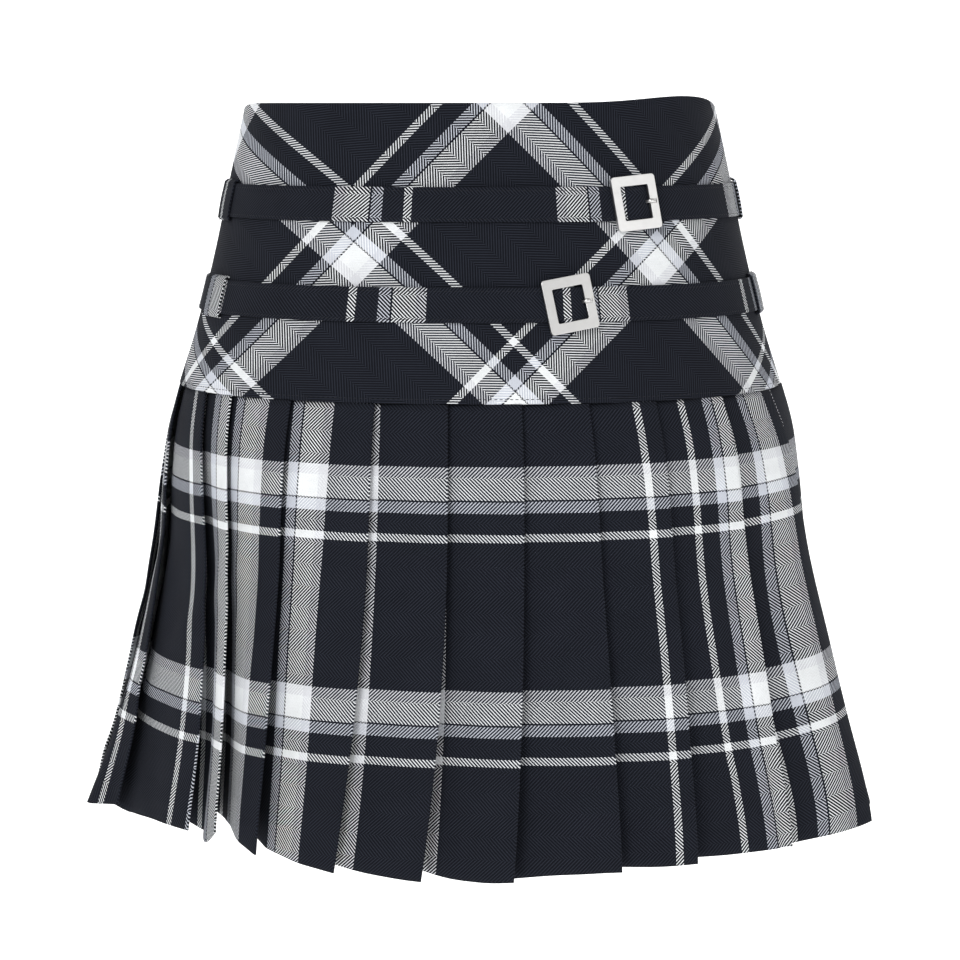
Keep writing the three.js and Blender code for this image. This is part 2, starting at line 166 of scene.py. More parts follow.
# The back's pleats are even: their stripes go on from the front's last fold round to its
# first, in so many setts
BACK_SETTS = 3
BACK_PLEATS = 13
BACK_STEP = 0.012
BACK_LENGTH = 0.390
BACK_LAST_LENGTH = 0.384
BACK_NOTCH = 0.003

# Where the hem swings out from the body: its place at the hem, how far it swings, how wide
# and how late on the way down
SWINGS = table(
    "at out reach late",
    (-0.249, 0.0125, 0.014, 3.2),
    (0.243, 0.009, 0.035, 1.3),
)
PLEAT_COUNT = len(FRONT_FOLDS) + BACK_PLEATS
# One pleat's cloth, and the levels halfway and at the hem
PLEAT_CLOTH = 0.129
PLEAT_MIDDLE = 0.275
PLEAT_HEM = 0.398
# From one hidden layer to the next, the depth of a pressed fold edge, how much higher hidden
# layers end, how late the steps open on the way down, and the faces' swell between the folds
PITCH_SEAM = 0.0017
PITCH_HEM = 0.0024
FOLD_DEPTH = 0.0003
HIDDEN_RISE = 0.004
STEP_GROWTH = 1.2
FACE_SWELL = 0.0015
PLEAT_ROWS = 66


def through(at, xs, ys):
    """A smooth curve through the rows of a table."""
    slopes = np.gradient(ys, xs)
    at = np.clip(at, xs[0], xs[-1])
    i = np.clip(np.searchsorted(xs, at) - 1, 0, len(xs) - 2)
    width = xs[i + 1] - xs[i]
    t = (at - xs[i]) / width
    return (
        (2 * t**3 - 3 * t**2 + 1) * ys[i]
        + (t**3 - 2 * t**2 + t) * width * slopes[i]
        + (3 * t**2 - 2 * t**3) * ys[i + 1]
        + (t**3 - t**2) * width * slopes[i + 1]
    )


def half_sizes(down):
    downs = column(FORM, "down")
    wide = through(down, downs, column(FORM, "half_width"))
    deep = through(down, downs, column(FORM, "half_depth"))
    return wide, deep


class Body:
    """The body's level rings: points by their share of a ring, from -0.5 to 0.5 with 0 at
    the front line, and by their distance down from the waist."""

    DOWN_STEP = 0.001
    LEVELS = 411
    PLACES = 601

    def __init__(self):
        n = RING_SQUARENESS
        self.downs = np.arange(0, self.LEVELS) * self.DOWN_STEP
        self.shares = np.linspace(0, 0.5, self.PLACES)
        turn = np.linspace(0, math.pi, 2 * self.PLACES - 1)
        wide, deep = half_sizes(self.downs)
        self.lengths = np.zeros(len(self.downs))
        self.x = np.zeros((len(self.downs), len(self.shares)))
        self.y = np.zeros_like(self.x)
        for i, (w, d) in enumerate(zip(wide, deep)):
            reach = (np.abs(np.sin(turn) / w) ** n + np.abs(np.cos(turn) / d) ** n) ** (-1 / n)
            x, y = reach * np.sin(turn), -reach * np.cos(turn)
            run = np.concatenate([[0], np.cumsum(np.hypot(np.diff(x), np.diff(y)))])
            self.lengths[i] = 2 * run[-1]
            self.x[i] = np.interp(self.shares * 2 * run[-1], run, x)
            self.y[i] = np.interp(self.shares * 2 * run[-1], run, y)

    def length(self, down):
        return np.interp(down, self.downs, self.lengths)

    def point(self, share, down, out=0.0):
        """A point of the body, moved out along its level ring. Above the waist the ring
        keeps the waist's size."""
        share, down, out = np.broadcast_arrays(*(np.asarray(v, float) for v in (share, down, out)))
        turns = share - np.round(share)
        a = np.clip(down / self.DOWN_STEP, 0, len(self.downs) - 1.001)
        b = np.clip(np.abs(turns) / self.shares[1], 0, len(self.shares) - 1.001)
        i, j = a.astype(int), b.astype(int)
        s, t = a - i, b - j

        def look(grid):
            near = grid[i, j] * (1 - s) + grid[i + 1, j] * s
            far = grid[i, j + 1] * (1 - s) + grid[i + 1, j + 1] * s
            return near * (1 - t) + far * t

        x = look(self.x) * np.where(turns < 0, -1, 1)
        y = look(self.y)
        wide, deep = half_sizes(down)
        n = RING_SQUARENESS - 1
        nx = np.sign(x) * np.abs(x / wide) ** n / wide
        ny = np.sign(y) * np.abs(y / deep) ** n / deep
        size = np.hypot(nx, ny)
        return np.stack([x + nx / size * out, y + ny / size * out, -down], axis=-1)


BODY = Body()
CENTRE_SHARE = CENTRE_FRONT / BODY.length(YOKE_LENGTH)

# Soft creases and ridges in the hanging cloth: where each starts and ends along the
# ring, its top and bottom, how wide it is, and how far out (a trough is negative)
CREASES = table(
    "start top end bottom width out",
    (0.164, 0.35, 0.172, 0.395, 0.003, -0.0016),
    (0.171, 0.355, 0.176, 0.395, 0.0035, 0.0008),
    (0.035, 0.165, 0.044, 0.3, 0.011, -0.0009),
    (0.06, 0.33, 0.052, 0.4, 0.01, 0.0009),
    (-0.004, 0.18, 0.004, 0.33, 0.009, 0.0007),
    (0.003, 0.34, -0.006, 0.4, 0.008, -0.001),
    (-0.045, 0.21, -0.05, 0.4, 0.01, -0.0007),
    (-0.086, 0.25, -0.098, 0.4, 0.008, 0.001),
    (-0.128, 0.3, -0.134, 0.4, 0.005, 0.0012),
    (-0.185, 0.26, -0.195, 0.39, 0.012, -0.0012),
    (0.09, 0.2, 0.098, 0.39, 0.011, 0.0007),
    (0.14, 0.23, 0.15, 0.38, 0.012, -0.0008),
    (0.195, 0.19, 0.208, 0.39, 0.014, 0.001),
    (0.268, 0.24, 0.275, 0.4, 0.011, -0.0012),
    (0.345, 0.2, 0.352, 0.4, 0.013, 0.001),
    (0.42, 0.28, 0.414, 0.4, 0.01, -0.0011),
    (0.5, 0.18, 0.508, 0.33, 0.012, 0.0008),
    (0.56, 0.3, 0.552, 0.4, 0.009, 0.0011),
    (0.64, 0.2, 0.648, 0.39, 0.012, -0.0009),
    (0.72, 0.29, 0.728, 0.4, 0.01, 0.0011),
    (0.8, 0.22, 0.792, 0.4, 0.012, -0.0009),
    (0.88, 0.24, 0.892, 0.4, 0.011, 0.001),
)
# How far a crease takes to fade past its top and bottom
CREASE_FADE = 0.03


def smooth_step(t):
    t = np.clip(t, 0, 1)
    return t * t * (3 - 2 * t)


def hump(share, at, ring, reach):
    """A soft hump round a place on a ring, 1 at its top."""
    away = share - at / ring
    away = (away - np.round(away)) * ring
    return np.exp(-((away / reach) ** 2))


def creases(share, downs):
    """How far the creases lift the hanging cloth."""
    ring = BODY.length(downs)
    out = np.zeros_like(share)
    for row in CREASES:
        start, top, bottom = row["start"], row["top"], row["bottom"]
        at = start + (row["end"] - start) * np.clip((downs - top) / (bottom - top), 0, 1)
        past = np.maximum(top - downs, downs - bottom) / CREASE_FADE
        out += row["out"] * hump(share, at, ring, row["width"]) * (1 - smooth_step(past))
    return out


def swing(share, parts):
    """How far the pleated cloth swings out from the body."""
    ring = float(BODY.length(PLEAT_HEM))
    out = np.zeros_like(share)
    for row in SWINGS:
        out += row["out"] * parts ** row["late"] * hump(share, row["at"], ring, row["reach"])
    return out


# Meshes


def activate(*pieces):
    """Selects these pieces alone, the last of them active."""
    for other in bpy.context.selected_objects:
        other.select_set(False)
    for piece in pieces:
        piece.select_set(True)
    bpy.context.view_layer.objects.active = pieces[-1]


def fix():
    """Applies the place, turn and size of what is selected to its mesh."""
    bpy.ops.object.transform_apply(location=True, rotation=True, scale=True)


def new_piece(name, verts, faces, uvs=None):
    """A mesh object from vertices, faces and a pair of cloth coordinates for each vertex."""
    mesh = bpy.data.meshes.new(name)
    mesh.from_pydata(np.asarray(verts).reshape(-1, 3).tolist(), [], faces)
    if uvs is not None:
        layer = mesh.uv_layers.new(name="Cloth")
        corner = np.zeros(len(mesh.loops), dtype=np.int32)
        mesh.loops.foreach_get("vertex_index", corner)
        layer.data.foreach_set("uv", np.asarray(uvs).reshape(-1, 2)[corner].ravel())
    mesh.shade_smooth()
    mesh.update()
    piece = bpy.data.objects.new(name, mesh)
    bpy.context.collection.objects.link(piece)
    return piece


def grid_faces(columns, rows):
    """Faces of a grid whose vertices run down each column in turn, seen from outside."""
    faces = []
    for i in range(columns - 1):
        for j in range(rows - 1):
            a = i * rows + j
            faces.append((a, a + 1, a + rows + 1, a + rows))
    return faces


def add_bevel(piece, width, angle):
    bevel = piece.modifiers.new("Bevel", "BEVEL")
    bevel.width = width
    bevel.segments = 2
    bevel.limit_method = "ANGLE"
    bevel.angle_limit = math.radians(angle)
    return bevel


def apply_modifiers(piece):
    activate(piece)
    for modifier in list(piece.modifiers):
        bpy.ops.object.modifier_apply(modifier=modifier.name)


def give_wall(piece, wall, offset, bevel=0.0):
    """Turns a sheet into a closed wall. Offset 1 grows it outwards, -1 inwards, 0 both ways."""
    solid = piece.modifiers.new("Wall", "SOLIDIFY")
    solid.thickness = wall
    solid.offset = offset
    solid.use_even_offset = False
    if bevel:
        add_bevel(piece, bevel, 60).loop_slide = False
    apply_modifiers(piece)


def dress(piece, material, slot, *replaced):
    """Gives a piece its material, hangs it on the frame's root body and hides the solids it replaces.
    The slot is not used.
    """
    piece.data.materials.clear()
    piece.data.materials.append(MATERIALS[material])
    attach(piece, "root")
    if replaced:
        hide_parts(*replaced)


def make_cloth(name, points, uvs, wall, offset, bevel=0.0):
    """A wall of plaid cloth on a grid of points, in the place of its solid."""
    piece = new_piece(f"{name}_cloth", points, grid_faces(*points.shape[:2]), uvs)
    give_wall(piece, wall, offset, bevel)
    dress(piece, "plaid", "plaid_cloth", name)
    return piece


# Materials


def feed(tree, made, inputs):
    """Links each input of a node to a socket, or sets it to a constant."""
    for key, value in inputs.items():
        if isinstance(value, bpy.types.NodeSocket):
            tree.links.new(value, made.inputs[key])
        else:
            made.inputs[key].default_value = value


def node(tree, kind, inputs=None, **settings):
    made = tree.nodes.new("ShaderNode" + kind)
    for key, value in settings.items():
        setattr(made, key, value)
    feed(tree, made, inputs or {})
    return made


def math_node(tree, operation, *values):
    made = node(tree, "Math", dict(enumerate(values)), operation=operation)
    return made.outputs[0]


def new_group(name, inputs, outputs):
    tree = bpy.data.node_groups.new(name, "ShaderNodeTree")
    for label, kind, default in inputs:
        socket = tree.interface.new_socket(name=label, in_out="INPUT", socket_type=kind)
        if default is not None:
            socket.default_value = default
    for label, kind in outputs:
        tree.interface.new_socket(name=label, in_out="OUTPUT", socket_type=kind)
    return tree, tree.nodes.new("NodeGroupInput"), tree.nodes.new("NodeGroupOutput")


# The sett, one repeat of the plaid: where each stripe starts, and its yarn
SETT = table(
    "start yarn",
    (0.0, "white"),
    (0.004, "navy"),
    (0.0148, "lavender"),
    (0.0207, "navy"),
    (0.0214, "white"),
    (0.0334, "pale"),
    (0.0388, "navy"),
)
TWILL_TURN_AT = 0.0214


def sett_group(settings):
    """The yarn's colour across the sett."""
    tree, start, end = new_group(
        "Yarn Colour",
        [("Across", "NodeSocketFloat", 0.0)],
        [("Color", "NodeSocketColor")],
    )
    setts = math_node(tree, "DIVIDE", start.outputs["Across"], settings.sett)
    ramp = node(tree, "ValToRGB", {"Fac": math_node(tree, "FRACT", setts)})
    ramp.color_ramp.interpolation = "CONSTANT"
    elements = ramp.color_ramp.elements
    while len(elements) > 1:
        elements.remove(elements[-1])
    for i, row in enumerate(SETT):
        element = elements[0] if i == 0 else elements.new(row["start"] / settings.sett)
        element.color = (*getattr(settings, row["yarn"]), 1)
    feed(tree, end, {"Color": ramp.outputs["Color"]})
    return tree


def blend(tree, kind, factor, below, above):
    """A mix of two colours: sockets or constants."""
    inputs = {"Factor": factor, "A": below, "B": above}
    made = node(tree, "Mix", inputs, data_type="RGBA", blend_type=kind)
    return made.outputs["Result"]


def soft_step(tree, value, at, reach=0.03):
    """A soft step from 0 to 1."""
    ends = {"Value": value, "From Min": at - reach, "From Max": at + reach}
    made = node(tree, "MapRange", ends, interpolation_type="SMOOTHSTEP")
    return made.outputs["Result"]


def plaid_group(settings):
    """Herringbone twill of two striped sets of yarn, on cloth coordinates in metres, with painted sheen
    on the warp and painted shade where warp and weft of different colours meet.
    """
    tree, start, end = new_group(
        "Herringbone Plaid",
        [("Cloth", "NodeSocketVector", None)],
        [("Color", "NodeSocketColor"), ("Height", "NodeSocketFloat")],
    )
    colours = sett_group(settings)
    place = node(tree, "SeparateXYZ", {"Vector": start.outputs["Cloth"]})
    warp_at, weft_at = place.outputs["X"], place.outputs["Y"]
    warp, weft = (
        node(tree, "Group", {"Across": at}, node_tree=colours).outputs["Color"]
        for at in (warp_at, weft_at)
    )
    turned = math_node(tree, "SUBTRACT", weft_at, TWILL_TURN_AT)
    zigzag = math_node(tree, "PINGPONG", turned, settings.reversal)
    stretch = math_node(tree, "FLOOR", math_node(tree, "DIVIDE", turned, settings.reversal))
    odd = math_node(tree, "MULTIPLY", math_node(tree, "FLOORED_MODULO", stretch, 2.0), 0.5)
    slanted = math_node(tree, "ADD", warp_at, zigzag)
    diagonal = math_node(tree, "DIVIDE", slanted, settings.twill_pitch)
    phase = math_node(tree, "FRACT", math_node(tree, "ADD", diagonal, odd))
    beside = math_node(tree, "PINGPONG", phase, 0.5)
    # Painted sheen: every warp yarn is drawn a little lighter, for the light its floats catch.
    sheened_warp = blend(tree, "ADD", 1.0, warp, (*settings.warp_sheen, 1))
    # Painted shade: at the border of each twill line the darker of warp and weft is drawn, for the
    # shadow in the crevice between the yarns.
    between = blend(tree, "DARKEN", 1.0, sheened_warp, weft)
    off_warp = soft_step(tree, beside, settings.line_share / 2)
    on_weft = soft_step(tree, beside, 0.5 - settings.line_share / 2)
    mixed = blend(tree, "MIX", on_weft, blend(tree, "MIX", off_warp, sheened_warp, between), weft)
    ridge = math_node(tree, "MULTIPLY", math_node(tree, "PINGPONG", phase, 0.25), 4.0)
    feed(tree, end, {"Color": mixed, "Height": ridge})
    return tree


def noise(tree, scale, detail, vector=None):
    """Noise in the piece's own space, or along a stretched one."""
    vector = vector or node(tree, "TexCoord").outputs["Object"]
    inputs = {"Vector": vector, "Scale": scale, "Detail": detail}
    return node(tree, "TexNoise", inputs).outputs["Fac"]


def fuzz_group():
    """The uneven tone and the loose fibres of a brushed cloth."""
    tree, start, end = new_group(
        "Cloth Fuzz",
        [("Color", "NodeSocketColor", (0.5, 0.5, 0.5, 1)), ("Amount", "NodeSocketFloat", 0.1)],
        [("Color", "NodeSocketColor"), ("Height", "NodeSocketFloat")],
    )
    fibres = noise(tree, 2600.0, 2.0)
    both = math_node(tree, "ADD", fibres, noise(tree, 60.0, 3.0))
    uneven = math_node(tree, "SUBTRACT", both, 1.0)
    change = math_node(tree, "MULTIPLY", uneven, start.outputs["Amount"])
    inputs = {"Color": start.outputs["Color"], "Value": math_node(tree, "ADD", change, 1.0)}
    toned = node(tree, "HueSaturation", inputs)
    feed(tree, end, {"Color": toned.outputs["Color"], "Height": fibres})
    return tree


def principled(name, **values):
    material = bpy.data.materials.new(name)
    material.use_nodes = True
    tree = material.node_tree
    shader = tree.nodes["Principled BSDF"]
    for key, value in values.items():
        shader.inputs[key.replace("_", " ")].default_value = value
    return material, tree, shader


def finish_shader(tree, shader, colour, height, relief):
    """Gives a shader its base colour, and a bump of so many metres."""
    bump = node(tree, "Bump", {"Height": height, "Distance": relief, "Strength": 1.0})
    feed(tree, shader, {"Base Color": colour, "Normal": bump.outputs["Normal"]})


MATERIALS = {}


def add_fuzz(tree, colour, amount):
    inputs = {"Color": colour, "Amount": amount}
    return node(tree, "Group", inputs, node_tree=MATERIALS["fuzz"]).outputs


def plaid_material(settings):
    material, tree, shader = principled(
        "plaid_cloth", Roughness=0.9, Specular_IOR_Level=0.08, Sheen_Weight=0.012, Sheen_Roughness=0.6
    )
    cloth = node(tree, "UVMap", uv_map="Cloth").outputs["UV"]
    weave = node(tree, "Group", {"Cloth": cloth}, node_tree=plaid_group(settings)).outputs
    fuzz = add_fuzz(tree, weave["Color"], 0.35)
    rough = math_node(tree, "MULTIPLY", fuzz["Height"], 0.3)
    height = math_node(tree, "ADD", weave["Height"], rough)
    finish_shader(tree, shader, fuzz["Color"], height, settings.weave_relief)
    return material


def thread_material(settings):
    material, tree, shader = principled("navy_thread", Roughness=0.7, Specular_IOR_Level=0.3)
    fuzz = add_fuzz(tree, (*settings.thread, 1), 0.5)
    finish_shader(tree, shader, fuzz["Color"], fuzz["Height"], 0.00005)
    return material


def metal_material(settings):
    """Satin metal, brushed a little, with a duller tone here and there."""
    material, tree, shader = principled("satin_silver", Metallic=1.0)
    place = node(tree, "TexCoord").outputs["Object"]
    long = node(tree, "Mapping", {"Vector": place, "Scale": (90.0, 90.0, 1400.0)})
    grain = noise(tree, 3.0, 3.0, long.outputs["Vector"])
    dull = (*[c * 0.86 for c in settings.metal], 1)
    tone = blend(tree, "MIX", noise(tree, 220.0, 2.0), (*settings.metal, 1), dull)
    rough = node(tree, "MapRange", {"Value": grain, "To Min": 0.24, "To Max": 0.42})
    feed(tree, shader, {"Roughness": rough.outputs["Result"]})
    finish_shader(tree, shader, tone, grain, 0.00002)
    return material


def make_materials(settings):
    MATERIALS["fuzz"] = fuzz_group()
    MATERIALS["plaid"] = plaid_material(settings)
    MATERIALS["thread"] = thread_material(settings)
    MATERIALS["metal"] = metal_material(settings)


# The yoke

# Where the bias plaid lies: its own front line, the stripe at the waist there, and how much
# the cloth has given along and across
BIAS = {"share": 0.0195, "stripe": 0.0227, "give_down": 1.062, "give_across": 1.012}
# How the front's cloth has given on the body from that even lay: how much lower it lies in
# all, how much shorter each metre of it, how it tilts to the right, how the sides ride up at
# the waist and less so at the seam, how it spreads on the way down, leans to the right, and
# narrows towards the sides, and how far from its front line it goes on bending
FRONT_GIVE = {
    "lower": 0.008, "shorter": 0.035, "tilt": 0.020, "sides_up": 0.72, "sides_less": 3.4,
    "spread": 0.30, "lean": 0.13, "narrow": 3.8, "bent_to": 0.16,
}
# The waist edge dips round both sides and rides up at the right front: the middle of each
# dip as a share of the ring, how far down, how wide, and how much higher the edge lies in all
WAIST_DIPS = table(
    "at down reach",
    (0.245, 0.003, 0.03),
    (-0.25, 0.003, 0.03),
    (0.165, -0.0036, 0.055),
)
WAIST_RISE = 0.0012
YOKE_PITCH = 0.003
YOKE_ROWS = 54
YOKE_PANELS = table(
    "name start end centre",
    ("yoke_front", -0.25, 0.25, 0.0),
    ("yoke_back_right", 0.25, 0.5, 0.5),
    ("yoke_back_left", 0.5, 0.75, 0.5),
)


def waist_dip(share):
    """How far the folded waist edge lies below the waist's level."""
    humps = (row["down"] * hump(share, row["at"], 1.0, row["reach"]) for row in WAIST_DIPS)
    return sum(humps) - WAIST_RISE


def run_down(points):
    """The distance down the cloth of a grid of points [column][row]."""
    steps = np.linalg.norm(np.diff(points, axis=1), axis=-1)
    return np.concatenate([np.zeros((len(points), 1)), np.cumsum(steps, axis=1)], axis=1)


def make_yoke_panel(row, settings):
    ring = BODY.length(YOKE_LENGTH)
    gap = SEAM_GAP / 2 / ring
    start = CENTRE_SHARE + row["start"] + gap
    end = CENTRE_SHARE + row["end"] - gap
    count = int((end - start) * ring / YOKE_PITCH) + 1
    shares = np.linspace(start, end, count)[:, None]
    dip = waist_dip(shares)
    downs = dip + (YOKE_LENGTH - dip) * np.linspace(0, 1, YOKE_ROWS)[None, :]
    below = np.maximum(downs, 0)
    points = BODY.point(shares, below)
    points[..., 2] = -downs
    levels = np.linspace(0, YOKE_LENGTH, YOKE_ROWS)
    run = run_down(BODY.point(shares, levels[None, :]))[0]
    low = np.interp(below, levels, run) + np.minimum(downs, 0)
    turns = shares - BIAS["share"] - row["centre"]
    side = (turns - np.round(turns)) * BODY.length(below)
    across, drop = side * BIAS["give_across"], low * BIAS["give_down"]
    if row["centre"] == 0:
        give = FRONT_GIVE
        bent = np.clip(side, -give["bent_to"], give["bent_to"])
        square, cube = bent * (2 * side - bent), bent**2 * (3 * side - 2 * bent)
        across = across + give["spread"] * side * low + give["lean"] * square - give["narrow"] * cube
        drop = drop + give["lower"] - give["shorter"] * low - give["tilt"] * side
        drop = drop - (give["sides_up"] - give["sides_less"] * low) * square
    bias = np.stack([drop + across, drop - across], axis=-1) / math.sqrt(2)
    piece = make_cloth(row["name"], points, BIAS["stripe"] + bias, settings.yoke_wall, -1, 0.0005)


# The straps and their loops


# How a strap passes over its buckle's hidden centre bar: how high, and how far along it stays
# up and comes down
BAR_LIFT = {"rise": 0.0013, "flat": 0.0015, "foot": 0.0087}
STRAP_PITCH = 0.0015
STRAP_ROWS = 13
LOOP_COLUMNS = 17
# A loop's section beyond a strap's edge: how far beyond, and how far out from the yoke. It
# ends on the bridge over the strap, which swells a little towards the middle.
LOOP_END = table(
    "beyond out",
    (LOOP_REACH, SEAM_GAP),
    (LOOP_REACH - 0.0009, SEAM_GAP),
    (0.0011, 0.0012),
)
LOOP_BRIDGE = {"beyond": 0.0004, "swell": 0.0002, "swell_at": 0.006, "turned_in": 0.003}


def bar_lift(strap, along, down):
    """How far a strap rises to pass over its buckle's hidden centre bar."""
    lean = math.tan(math.radians(strap["tilt"]))
    away = along - strap["buckle_at"] + (strap["down"] + STRAP_WIDTH / 2 - down) * lean
    foot, flat = BAR_LIFT["foot"], BAR_LIFT["flat"]
    return smooth_step((foot - np.abs(away)) / (foot - flat)) * (BAR_LIFT["rise"] + SEAM_GAP)


def stripe_along(strap, along):
    """The plaid's stripe at a place along a strap, carried on evenly past its table."""
    rows = STRIPES[strap["name"]]
    at, stripe = column(rows, "at"), column(rows, "stripe")
    way = (stripe[-1] - stripe[-2]) / (at[-1] - at[-2])
    return np.interp(along, at, stripe) + way * np.maximum(along - at[-1], 0)


def strap_ring(strap):
    """The body's length round at a strap's middle."""
    return float(BODY.length(strap["down"] + STRAP_WIDTH / 2))


def make_strap(strap, part, start, end, settings):
    name = f"strap_{strap['name']}_{part}"
    count = int((end - start) / STRAP_PITCH) + 1
    along = np.linspace(start, end, count)[:, None]
    across = np.linspace(0, STRAP_WIDTH, STRAP_ROWS)[None, :]
    downs = strap["down"] + across
    lift = bar_lift(strap, along, downs)
    points = BODY.point(along / strap_ring(strap), downs, SEAM_GAP + lift)
    cloth = np.broadcast_arrays(stripe_along(strap, along), settings.strap_row - across)
    piece = make_cloth(name, points, np.stack(cloth, axis=-1), settings.strap_wall, 1, 0.0004)


def make_loop(loop, settings):
    name = f"loop_{loop['side']}_{loop['strap']}"
    strap = next(row for row in STRAPS if row["name"] == loop["strap"])
    bridge, over = LOOP_BRIDGE, SEAM_GAP + settings.strap_wall + SEAM_GAP
    half = [(STRAP_WIDTH / 2 + row["beyond"], row["out"]) for row in LOOP_END]
    half.append((STRAP_WIDTH / 2 + bridge["beyond"], over))
    half.append((STRAP_WIDTH / 2 - bridge["swell_at"], over + bridge["swell"]))
    rows = [(-reach, out) for reach, out in half] + half[::-1]
    across = np.array([row[0] for row in rows])[None, :] + STRAP_WIDTH / 2
    outs = np.array([row[1] for row in rows])[None, :]
    along = np.linspace(-0.5, 0.5, LOOP_COLUMNS)[:, None] * LOOP_WIDTH
    points = BODY.point((loop["at"] + along) / strap_ring(strap), strap["down"] + across, outs)
    cloth = np.broadcast_arrays(loop["stripe"] + along, settings.strap_row - across)
    piece = make_cloth(name, points, np.stack(cloth, axis=-1), settings.loop_wall, 1, 0.0003)


# The buckles

BUCKLE = {
    "width": 0.026, "height": 0.0286, "window_width": 0.0162, "window_height": 0.0179,
    "base": 0.0020, "top": 0.0040, "corner": 0.0019, "window_corner": 0.0007,
    "bar_width": 0.0018, "bar_top": 0.0016, "foot": 0.0124, "foot_rise": 0.0022,
    "notch_height": 0.0023, "notch_depth": 0.0007, "rim": 0.0002,
}
# The prong's bend, from inside the strap to the notch: its place and its thickness
PRONG = table(
    "along out radius",
    (0.0064, 0.0009, 0.0008),
    (0.0072, 0.0026, 0.0008),
    (0.0078, 0.0038, 0.0008),
    (0.0086, 0.0042, 0.0008),
    (0.0101, 0.0042, 0.00078),
    (0.0107, 0.0041, 0.0006),
    (0.0109, 0.0041, 0.0003),
)


def buckle_place(strap):
    """The flat place of a buckle on the body, turned by its tilt."""
    down = strap["down"] + STRAP_WIDTH / 2
    share = strap["buckle_at"] / BODY.length(down)

    def at(side, below):
        return Vector(BODY.point(share + side, down + below).tolist())

    along = (at(0.004, 0) - at(-0.004, 0)).normalized()
    up = (at(0, -0.008) - at(0, 0.008)).normalized()
    out = along.cross(up).normalized()
    up = out.cross(along)
    place = Matrix((along, up, out)).transposed().to_4x4()
    place.translation = at(0, 0)
    return place @ Matrix.Rotation(math.radians(strap["tilt"]), 4, "Z")


def edit(piece):
    activate(piece)
    bpy.ops.object.mode_set(mode="EDIT")
    bpy.ops.mesh.select_mode(type="EDGE")


def pick_upright_edges(piece, least):
    """Selects the edges, in edit mode, that rise by more than the least height."""
    mesh = bmesh.from_edit_mesh(piece.data)
    for line in mesh.edges:
        line.select_set(False)
    for line in mesh.edges:
        low, high = (corner.co.z for corner in line.verts)
        if abs(high - low) > least:
            line.select_set(True)
    bmesh.update_edit_mesh(piece.data)


def settle(piece, place, smooth):
    """Leaves edit mode and fixes a finished piece at its place, its object at the origin."""
    bpy.ops.object.mode_set(mode="OBJECT")
    bpy.ops.object.shade_smooth_by_angle(angle=math.radians(smooth))
    piece.matrix_world = place @ piece.matrix_world
    fix()


def make_box(width, height, low, high, across=0.0):
    bpy.ops.mesh.primitive_cube_add(size=1, location=(0, across, (low + high) / 2))
    box = bpy.context.active_object
    box.scale = (width, height, high - low)
    activate(box)
    fix()
    return box


def make_block(width, height, low, high, corner):
    """A block with rounded upright edges."""
    block = make_box(width, height, low, high)
    edit(block)
    pick_upright_edges(block, (high - low) / 2)
    bpy.ops.mesh.bevel(offset=corner, segments=6, affect="EDGES")
    bpy.ops.object.mode_set(mode="OBJECT")
    return block


def make_buckle_plate():
    """A flat frame with rounded corners and softened rims."""
    b = BUCKLE
    window = make_block(b["window_width"], b["window_height"], 0.001, 0.005, b["window_corner"])
    notch_floor = b["top"] - b["notch_depth"]
    notch = make_block(0.006, b["notch_height"], notch_floor, 0.005, 0.0004)
    notch.location.x = b["window_width"] / 2 + 0.0008
    plate = make_block(b["width"], b["height"], b["base"], b["top"], b["corner"])
    for cutter in (window, notch):
        cut = plate.modifiers.new("Cut", "BOOLEAN")
        cut.operation = "DIFFERENCE"
        cut.object = cutter
    add_bevel(plate, b["rim"], 50)
    apply_modifiers(plate)
    bpy.data.objects.remove(window)
    bpy.data.objects.remove(notch)
    return plate


def make_buckle_bar():
    """The centre bar under the strap, with a foot at each end that reaches the frame."""
    b = BUCKLE
    bar = make_box(b["bar_width"], 2 * b["foot"], SEAM_GAP, b["bar_top"])
    edit(bar)
    bpy.ops.mesh.select_all(action="SELECT")
    bpy.ops.mesh.bevel(offset=0.0003, segments=2, affect="EDGES")
    bpy.ops.object.mode_set(mode="OBJECT")
    inner, outer = STRAP_WIDTH / 2 + 0.0009, b["foot"]
    for side in (-1, 1):
        low, high = 0.0004, 0.0004 + b["foot_rise"]
        foot = make_box(b["bar_width"], outer - inner, low, high, side * (outer + inner) / 2)
        activate(foot, bar)
        bpy.ops.object.join()
    return bar


def make_buckle_frame(strap):
    plate = make_buckle_plate()
    activate(make_buckle_bar(), plate)
    bpy.ops.object.join()
    name = f"buckle_{strap['name']}_frame"
    plate.name = f"{name}_metal"
    settle(plate, buckle_place(strap), 20)
    dress(plate, "metal", "buckle_metal", name)


def make_prong(strap):
    start = PRONG[0]
    bpy.ops.mesh.primitive_circle_add(
        vertices=12, radius=start["radius"], fill_type="NGON",
        location=(start["along"], 0, start["out"]), rotation=(0, math.radians(90), 0),
    )
    prong = bpy.context.active_object
    fix()
    edit(prong)
    bpy.ops.mesh.select_all(action="SELECT")
    bpy.ops.transform.resize(value=(1, 1.1, 0.75))
    for row, after in zip(PRONG, PRONG[1:]):
        step = (after["along"] - row["along"], 0, after["out"] - row["out"])
        bpy.ops.mesh.extrude_region_move(TRANSFORM_OT_translate={"value": step})
        shrink = after["radius"] / row["radius"]
        bpy.ops.transform.resize(value=(1, shrink, shrink))
    bpy.ops.mesh.select_all(action="SELECT")
    bpy.ops.mesh.normals_make_consistent(inside=False)
    name = f"buckle_{strap['name']}_prong"
    prong.name = f"{name}_metal"
    settle(prong, buckle_place(strap), 40)
    dress(prong, "metal", "buckle_metal", name)


# The pleats


